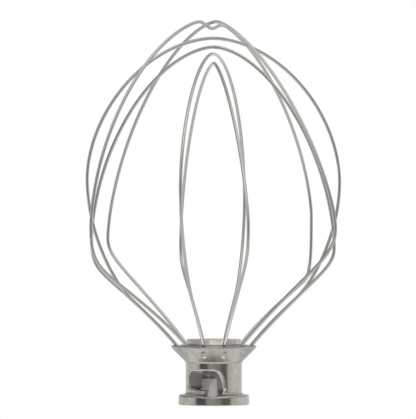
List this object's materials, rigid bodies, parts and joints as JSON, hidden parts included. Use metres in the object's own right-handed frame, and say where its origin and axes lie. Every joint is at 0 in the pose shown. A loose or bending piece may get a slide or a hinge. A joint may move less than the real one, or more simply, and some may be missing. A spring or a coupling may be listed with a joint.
{
  "type": "stand mixer wire whip",
  "caption": "Balloon-shaped wire whip for a stand mixer: bent steel wire loops rise from a flared cast hub with a shaft bore and a side window that locks on the shaft's pin.",
  "frame": {"origin": "on the axis of the shaft bore, in the plane of the hub's foot face", "axes": "+Z along the whip's axis, from the hub's foot to the crowns of the loops; -Y is the side with the lock window; +X to the right seen from that side"},
  "size_m": [0.1227, 0.1222, 0.1847],
  "materials": {
    "hub": "die cast, satin, slightly uneven",
    "wire": "drawn wire, polished"
  },
  "bodies": {
    "root": {"hub": "hub", "wire_loop_1": "wire", "wire_loop_2": "wire", "wire_loop_3": "wire", "wire_loop_4": "wire", "wire_loop_5": "wire", "wire_loop_6": "wire"}
  },
  "joints": []
}
